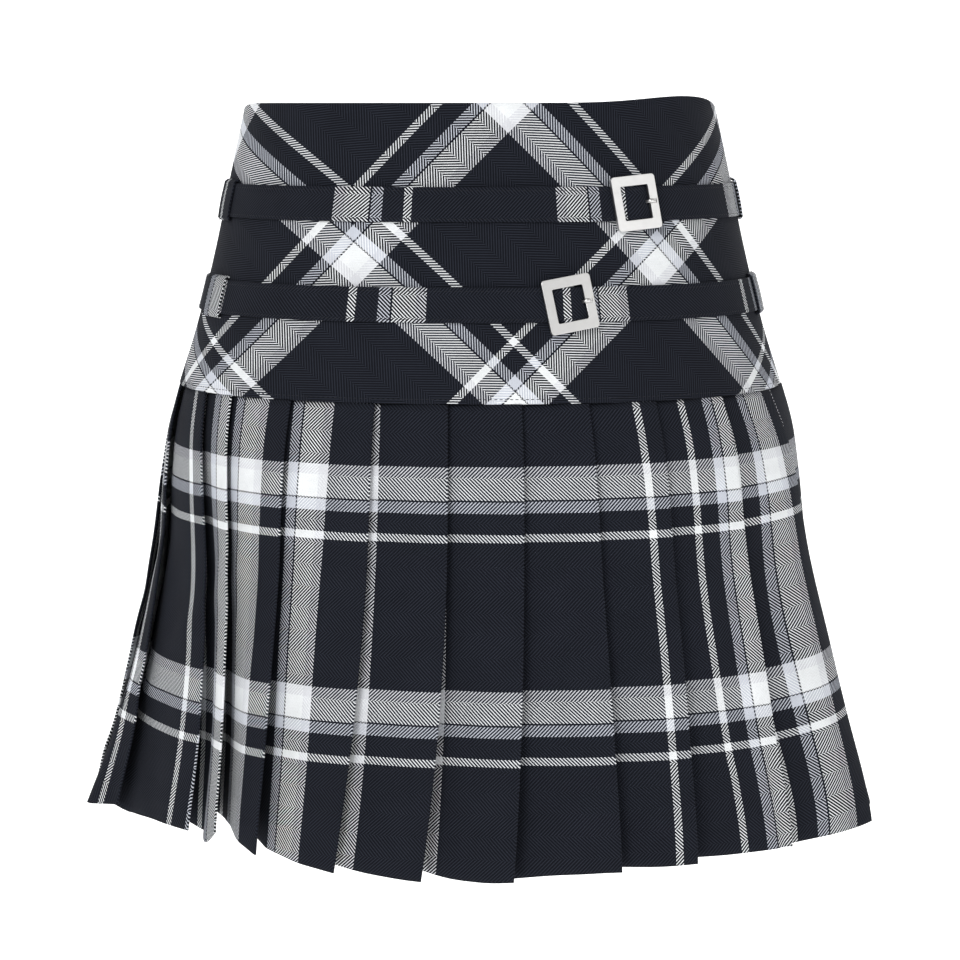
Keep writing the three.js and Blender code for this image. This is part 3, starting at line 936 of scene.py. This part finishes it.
def fold_table():
    """All fold edges round the skirt, as shares of the ring at three levels."""
    levels = {"seam": YOKE_LENGTH, "middle": PLEAT_MIDDLE, "hem": PLEAT_HEM}
    rows = []
    for row in FRONT_FOLDS:
        shares = {level: row[level] / BODY.length(down) for level, down in levels.items()}
        rows.append(row | shares)
    first, last = rows[0], rows[-1]
    around = BACK_SETTS * bpy.context.scene.skirt.sett
    for i in range(1, BACK_PLEATS + 1):
        t = i / (BACK_PLEATS + 1)
        made = {level: last[level] + (first[level] + 1 - last[level]) * t for level in levels}
        ends = zip(last["stripes"], first["stripes"])
        made["stripes"] = tuple(a + (b + around - a) * t for a, b in ends)
        length = BACK_LAST_LENGTH if i == BACK_PLEATS else BACK_LENGTH
        rows.append(made | {"step": BACK_STEP, "length": length, "notch": BACK_NOTCH, "droop": 0.0})
    return rows


class Pleats:
    """The pleats' layers at every level, from the seam (part 0) to the hem (part 1)."""

    FIRST = -4
    FACE_POINTS = 21
    INNER_TURNS = (-90, -30, 30, 90)
    FOLD_TURNS = (-60, -30, 0, 30, 60, 90)
    RETURN_PARTS = (0.2, 0.4, 0.495, 0.505, 0.6, 0.8)

    def __init__(self, parts):
        self.parts = parts
        self.rows = fold_table()
        self.half = (PLEAT_MIDDLE - YOKE_LENGTH) / (PLEAT_HEM - YOKE_LENGTH)
        grown = parts**STEP_GROWTH
        self.pitch = PITCH_SEAM + (PITCH_HEM - PITCH_SEAM) * parts
        folds = range(self.FIRST, PLEAT_COUNT + 1 - self.FIRST)
        steps = [PITCH_SEAM + (self.row(k)["step"] / 2 - PITCH_SEAM) * grown for k in folds]
        self.shares = np.array([self.fold_share(k) for k in folds])
        self.sums = np.cumsum([0 * grown, *steps[:-1]], axis=0)
        self.lengths = np.array([self.row(k)["length"] for k in folds])

    def row(self, k):
        return self.rows[k % PLEAT_COUNT]

    def fold_share(self, k):
        """A fold edge's share of the ring at each part of the way down."""
        row, turns, p, h = self.row(k), k // PLEAT_COUNT, self.parts, self.half
        seam = row["seam"] * (p - h) * (p - 1) / h
        middle = row["middle"] * p * (p - 1) / (h * (h - 1))
        hem = row["hem"] * p * (p - h) / (1 - h)
        return seam + middle + hem + turns

    def fold(self, k):
        return self.shares[k - self.FIRST]

    def between(self, share, values):
        """Interpolates values given at the fold edges, at each level."""
        made = np.zeros_like(share)
        for j in range(len(self.parts)):
            row = values[:, j] if values.ndim == 2 else values
            made[:, j] = np.interp(share[:, j], self.shares[:, j], row)
        return made

    def depth(self, k, share):
        return 2 * (self.sums[k - self.FIRST] - self.between(share, self.sums))

    def down(self, share, notch=0.0):
        top = YOKE_LENGTH + SEAM_GAP
        length = self.between(share, self.lengths) - notch
        return top + (length - top) * self.parts[None, :]

    def section(self, k):
        """The cloth's middle line through one pleat at every level: shares, depths and
        downs as [point][level], and which point is the fold edge."""
        here, before, after = self.fold(k), self.fold(k - 1), self.fold(k + 1)
        ring = BODY.length(self.down(here[None, :])[0])
        bend = self.pitch / 2 / ring
        fold = FOLD_DEPTH / 2 / ring
        inner = before - (PLEAT_CLOTH / ring - (here - before)) / 2
        next_under = (PLEAT_CLOTH / ring - (after - here)) / 2
        notch, droop = self.row(k)["notch"], self.row(k)["droop"]
        points = []

        def add(share, rise, lost):
            points.append(np.broadcast_arrays(share, rise, lost))

        for a in np.radians(self.INNER_TURNS):
            add(inner + bend * (1 - math.cos(a)), self.pitch / 2 * (math.sin(a) - 1), HIDDEN_RISE)
        for t in (0.25, 0.5, 0.75, 0.95):
            lost = HIDDEN_RISE + (notch - HIDDEN_RISE) * smooth_step(t)
            add(inner + bend + (before - inner - bend) * t, 0.0, lost)
        for t in np.linspace(0, 1, self.FACE_POINTS):
            hidden = notch * (1 - t) ** 2 - droop * math.sin(math.pi * t)
            swell = FACE_SWELL * self.parts * math.sin(math.pi * t)
            add(before + (here - fold - before) * t, -swell, hidden)
        fold_at = len(points) + self.FOLD_TURNS.index(0)
        for a in np.radians(self.FOLD_TURNS):
            add(here - fold + fold * math.cos(a), FOLD_DEPTH / 2 * (1 + math.sin(a)), 0.0)
        next_step = 2 * (self.sums[k + 1 - self.FIRST] - self.sums[k - self.FIRST])
        for t in self.RETURN_PARTS:
            rise = FOLD_DEPTH + (next_step - self.pitch - FOLD_DEPTH) * t
            add(here - fold + (fold - next_under) * t, rise, HIDDEN_RISE * t)
        shares, rises, notches = np.array(points).transpose(1, 0, 2)
        return shares, self.depth(k, shares) + rises, self.down(shares, notches), fold_at


def make_pleats(name, first, last, settings):
    """Pleats from the first fold to the last in one piece, cut halfway along a return."""
    parts = np.linspace(0, 1, PLEAT_ROWS)
    pleats = Pleats(parts)
    levels = np.array([0.0, 0.5, 1.0])
    points, uvs = [], []
    for k in range(first - 1, last + 1):
        shares, depths, downs, fold_at = pleats.section(k)
        here = BODY.point(shares, downs, swing(shares, parts) + creases(shares, downs) - depths)
        run = run_down(here.transpose(1, 0, 2)).T
        across = run - run[fold_at]
        if k == EASED_PLEAT:
            across = across * through(parts, levels, np.array(EASE))
        across = across + through(parts, levels, np.array(pleats.row(k)["stripes"]))
        cloth = np.stack([across, settings.band_row - run_down(here)], axis=-1)
        cut = len(shares) - len(pleats.RETURN_PARTS) // 2
        if k == first - 1:
            here, cloth = here[cut:], cloth[cut:]
        if k == last:
            here, cloth = here[:cut], cloth[:cut]
        points.append(here)
        uvs.append(cloth)
    piece = make_cloth(name, np.concatenate(points), np.concatenate(uvs), settings.pleat_wall, 0)


# The topstitching

STITCH = {"length": 0.0019, "pitch": 0.0027, "width": 0.00044, "sunk": 0.00004, "aim": 0.0008}
# How far in from a strap's edge, a loop's end, its sides and the yoke's lower edge
STRAP_INSET = 0.0017
LOOP_INSET = 0.0014
LOOP_SIDE_INSET = 0.001
YOKE_INSET = 0.0024


def stitch_shape():
    """One stitch: the corners and faces of a thread end that dives into the cloth."""
    bpy.ops.mesh.primitive_uv_sphere_add(segments=6, ring_count=4, radius=0.5)
    thread = bpy.context.active_object
    corners = np.array([v.co[:] for v in thread.data.vertices])
    faces = [tuple(face.vertices) for face in thread.data.polygons]
    bpy.data.objects.remove(thread)
    corners = corners[:, [2, 0, 1]] * (STITCH["length"], STITCH["width"], STITCH["width"])
    return corners, faces


def vector_at(at, run, values):
    """The vector at a distance along a row of vectors."""
    return np.array([np.interp(at, run, values[:, axis]) for axis in range(3)])


def make_stitches(name, rows):
    """Stitches along rows of points on the cloth, each row with its outward directions."""
    corners, faces = stitch_shape()
    verts, all_faces = [], []
    for points, outs in rows:
        run = np.concatenate([[0], np.cumsum(np.linalg.norm(np.diff(points, axis=0), axis=1))])
        count = int(run[-1] / STITCH["pitch"])
        for i in range(count):
            at = (i + 0.5) * run[-1] / count
            before = vector_at(at - STITCH["aim"], run, points)
            after = vector_at(at + STITCH["aim"], run, points)
            out = vector_at(at, run, outs)
            along = after - before
            along /= np.linalg.norm(along)
            side = np.cross(out, along)
            side /= np.linalg.norm(side)
            out = np.cross(along, side)
            middle = (before + after) / 2 - out * STITCH["sunk"]
            base = len(verts) * len(corners)
            verts.append(middle + corners @ np.array([along, side, out]))
            all_faces += [tuple(base + v for v in face) for face in faces]
    piece = new_piece(name, np.concatenate(verts), all_faces)
    dress(piece, "thread", "plaid_cloth")


def body_row(shares, downs, out):
    """A row of points over the body, and the directions away from it."""
    shares, downs = np.broadcast_arrays(shares, downs)
    points = BODY.point(shares, downs, out)
    outs = BODY.point(shares, downs, out + 0.001) - points
    return points, outs / np.linalg.norm(outs, axis=1, keepdims=True)


def strap_rows(strap, settings):
    """Two rows near a strap's edges, from loop to loop and round the back."""
    ring = strap_ring(strap)
    reach = LOOP_WIDTH / 2 + 0.0006
    left, right = LOOPS[0]["at"], LOOPS[1]["at"]
    for inset in (STRAP_INSET, STRAP_WIDTH - STRAP_INSET):
        down = strap["down"] + inset
        for start, end in ((left + reach, right - reach), (right + reach, left + ring - reach)):
            along = np.linspace(start, end, 400)
            lift = bar_lift(strap, along, down)
            yield body_row(along / ring, down, SEAM_GAP + settings.strap_wall + lift)


def loop_rows(loop, settings):
    """A row at each end of a loop, where it is sewn to the yoke."""
    strap = next(row for row in STRAPS if row["name"] == loop["strap"])
    along = np.linspace(-0.5, 0.5, 20) * (LOOP_WIDTH - 2 * LOOP_SIDE_INSET)
    shares = (loop["at"] + along) / strap_ring(strap)
    for down in (strap["down"] - LOOP_INSET, strap["down"] + STRAP_WIDTH + LOOP_INSET):
        yield body_row(shares, down, SEAM_GAP + settings.loop_wall)


# Settings, operators and the panel


def length(name, description, default):
    return bpy.props.FloatProperty(
        name=name, description=description, default=default, min=0.0, max=1.0, precision=5,
        subtype="DISTANCE", unit="LENGTH",
    )


def colour(name, description, default):
    return bpy.props.FloatVectorProperty(
        name=name, description=description, default=default, size=3, min=0.0, max=1.0, subtype="COLOR",
    )


class SkirtSettings(bpy.types.PropertyGroup):
    sett: length("Sett", "One repeat of the plaid", 0.116)
    reversal: length("Reversal", "From one turn of the herringbone to the next", 0.0116)
    twill_pitch: length("Twill pitch", "From one twill line to the next", 0.00193)
    line_share: bpy.props.FloatProperty(
        name="Line share", description="How much of a twill line's pitch a light line fills",
        default=0.36, min=0.1, max=0.5, subtype="FACTOR",
    )
    weave_relief: length("Weave relief", "Height of a twill line", 0.00012)
    band_row: length("Band row", "Stripe that lies on the yoke seam", 0.0711)
    strap_row: length("Strap row", "Stripe along a strap's upper edge", 0.0834)
    yoke_wall: length("Yoke cloth", "Thickness of the yoke", 0.0016)
    strap_wall: length("Strap cloth", "Thickness of a strap", 0.0014)
    loop_wall: length("Loop cloth", "Thickness of a loop", 0.0011)
    pleat_wall: length("Pleat cloth", "Thickness of the pleated cloth", 0.0011)
    navy: colour("Navy yarn", "Colour of the ground", (0.0060, 0.0070, 0.0105))
    white: colour("White yarn", "Colour of the wide band and the thin line", (0.80, 0.82, 0.83))
    pale: colour("Pale yarn", "Colour of the band's outer edge", (0.66, 0.67, 0.70))
    lavender: colour("Lavender yarn", "Colour of the band's inner edge", (0.55, 0.575, 0.635))
    # Painted sheen: how much lighter the warp yarns are drawn, for the light they catch
    warp_sheen: colour("Warp lift", "How much lighter the warp is", (0.015, 0.017, 0.024))
    thread: colour("Sewing thread", "Colour of the stitching", (0.008, 0.009, 0.014))
    metal: colour("Metal", "Colour of the buckles", (0.78, 0.775, 0.765))


class SKIRT_OT_yoke(bpy.types.Operator):
    """Lay the yoke's three panels on their solids"""

    bl_idname = "skirt.yoke"
    bl_label = "Yoke"

    def execute(self, context):
        for row in YOKE_PANELS:
            make_yoke_panel(row, context.scene.skirt)
        return {"FINISHED"}


class SKIRT_OT_straps(bpy.types.Operator):
    """Lay both straps round the yoke, under their buckles"""

    bl_idname = "skirt.straps"
    bl_label = "Straps"

    def execute(self, context):
        settings, half_gap = context.scene.skirt, SEAM_GAP / 2
        left, right = LOOPS[0]["at"], LOOPS[1]["at"]
        for strap in STRAPS:
            around = left + strap_ring(strap)
            make_strap(strap, "front", left + half_gap, right - half_gap, settings)
            make_strap(strap, "back", right + half_gap, around - half_gap, settings)
        return {"FINISHED"}


class SKIRT_OT_loops(bpy.types.Operator):
    """Sew the four side loops over the straps"""

    bl_idname = "skirt.loops"
    bl_label = "Loops"

    def execute(self, context):
        for loop in LOOPS:
            make_loop(loop, context.scene.skirt)
        return {"FINISHED"}


class SKIRT_OT_pleats(bpy.types.Operator):
    """Hang the pleated front and back from the yoke"""

    bl_idname = "skirt.pleats"
    bl_label = "Pleats"

    def execute(self, context):
        make_pleats("skirt_front", 0, len(FRONT_FOLDS) - 1, context.scene.skirt)
        make_pleats("skirt_back", len(FRONT_FOLDS), PLEAT_COUNT - 1, context.scene.skirt)
        return {"FINISHED"}


class SKIRT_OT_stitches(bpy.types.Operator):
    """Topstitch the straps, the loops' ends and the yoke's lower edge"""

    bl_idname = "skirt.stitches"
    bl_label = "Stitches"

    def execute(self, context):
        settings = context.scene.skirt
        for strap in STRAPS:
            make_stitches(f"stitches_strap_{strap['name']}", list(strap_rows(strap, settings)))
        rows = [row for loop in LOOPS for row in loop_rows(loop, settings)]
        make_stitches("stitches_loops", rows)
        seam = body_row(np.linspace(-0.5, 0.5, 900), YOKE_LENGTH - YOKE_INSET, 0.0)
        make_stitches("stitches_yoke", [seam])
        return {"FINISHED"}


class SKIRT_OT_buckles(bpy.types.Operator):
    """Model both buckles, with their centre bars and prongs"""

    bl_idname = "skirt.buckles"
    bl_label = "Buckles"

    def execute(self, context):
        for strap in STRAPS:
            make_buckle_frame(strap)
            make_prong(strap)
        return {"FINISHED"}


class SKIRT_OT_stage(bpy.types.Operator):
    """Set up the camera, the pale floor and the soft studio light"""

    bl_idname = "skirt.stage"
    bl_label = "Stage"

    def execute(self, context):
        add_camera()
        add_floor()
        add_lights()
        return {"FINISHED"}


WHITE = (1, 1, 1, 1)
CAMERA = {"distance": 1.5, "pitch": 7.917, "lens": 101.12}
SWEEP = {"down": 0.95, "half_width": 4.0, "front": -3.0, "back": 2.4, "curve": 0.9, "height": 3.0}
LIGHTS = table(
    "name at size power",
    ("key", (-1.1, -2.2, 1.3), 1.3, 36),
    ("fill", (1.8, -1.8, 0.3), 1.8, 9),
    ("rear", (0.6, 1.9, 1.0), 1.2, 18),
)


def add_camera():
    scene = bpy.context.scene
    data = bpy.data.cameras.new("Camera")
    data.lens = CAMERA["lens"]
    data.clip_start = 0.01
    camera = bpy.data.objects.new("Camera", data)
    camera.location = (0, -CAMERA["distance"], 0)
    camera.rotation_euler = (math.radians(90 - CAMERA["pitch"]), 0, 0)
    scene.collection.objects.link(camera)
    scene.camera = camera


def add_floor():
    """A pale floor that sweeps up into the backdrop."""
    bend = np.radians(np.linspace(0, 90, 13))
    y = SWEEP["back"] - SWEEP["curve"] * (1 - np.sin(bend))
    z = SWEEP["curve"] * (1 - np.cos(bend)) - SWEEP["down"]
    y = np.concatenate([[SWEEP["front"]], y, [SWEEP["back"]]])
    z = np.concatenate([[-SWEEP["down"]], z, [SWEEP["height"]]])
    edges = [[side * SWEEP["half_width"] + 0 * y, y, z] for side in (-1, 1)]
    floor = new_piece("floor", np.stack(edges).transpose(0, 2, 1), grid_faces(2, len(y)))
    floor.data.flip_normals()
    material, tree, shader = principled(
        "pale_floor", Roughness=0.9, Specular_IOR_Level=0.1, Emission_Color=WHITE, Emission_Strength=0.62
    )
    tone = blend(tree, "MIX", noise(tree, 3.0, 2.0), (0.84, 0.84, 0.84, 1), (0.88, 0.88, 0.88, 1))
    feed(tree, shader, {"Base Color": tone})
    floor.data.materials.append(material)
    floor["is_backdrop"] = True


def add_lights():
    scene = bpy.context.scene
    scene.view_settings.view_transform = "Standard"
    world = bpy.data.worlds.new("Studio")
    scene.world = world
    world.use_nodes = True
    background = world.node_tree.nodes["Background"]
    feed(world.node_tree, background, {"Color": WHITE, "Strength": 0.50})
    for row in LIGHTS:
        data = bpy.data.lights.new(row["name"], "AREA")
        data.shape = "DISK"
        data.size = row["size"]
        data.energy = row["power"]
        light = bpy.data.objects.new(row["name"], data)
        light.location = row["at"]
        aim = Vector((0, 0, -0.2)) - Vector(row["at"])
        light.rotation_euler = aim.to_track_quat("-Z", "Y").to_euler()
        scene.collection.objects.link(light)


class SKIRT_PT_panel(bpy.types.Panel):
    bl_label = "Skirt"
    bl_idname = "SKIRT_PT_panel"
    bl_space_type = "VIEW_3D"
    bl_region_type = "UI"
    bl_category = "Skirt"

    def draw(self, context):
        for name in SkirtSettings.__annotations__:
            self.layout.prop(context.scene.skirt, name)
        for operator in OPERATORS:
            self.layout.operator(operator.bl_idname)


OPERATORS = (
    SKIRT_OT_yoke,
    SKIRT_OT_straps,
    SKIRT_OT_loops,
    SKIRT_OT_pleats,
    SKIRT_OT_stitches,
    SKIRT_OT_buckles,
    SKIRT_OT_stage,
)
CLASSES = (SkirtSettings, *OPERATORS, SKIRT_PT_panel)


def register():
    for cls in CLASSES:
        bpy.utils.register_class(cls)
    bpy.types.Scene.skirt = bpy.props.PointerProperty(type=SkirtSettings)


def unregister():
    del bpy.types.Scene.skirt
    for cls in reversed(CLASSES):
        bpy.utils.unregister_class(cls)


def main():
    register()
    make_materials(bpy.context.scene.skirt)
    bpy.ops.skirt.yoke()
    bpy.ops.skirt.straps()
    bpy.ops.skirt.loops()
    bpy.ops.skirt.pleats()
    bpy.ops.skirt.stitches()
    bpy.ops.skirt.buckles()
    bpy.ops.skirt.stage()
    boxes = {"cad": CAD_BOX, "visual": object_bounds()}
    {key: [[float(v) for v in corner] for corner in box] for key, box in boxes.items()}


if __name__ == "__main__":
    main()
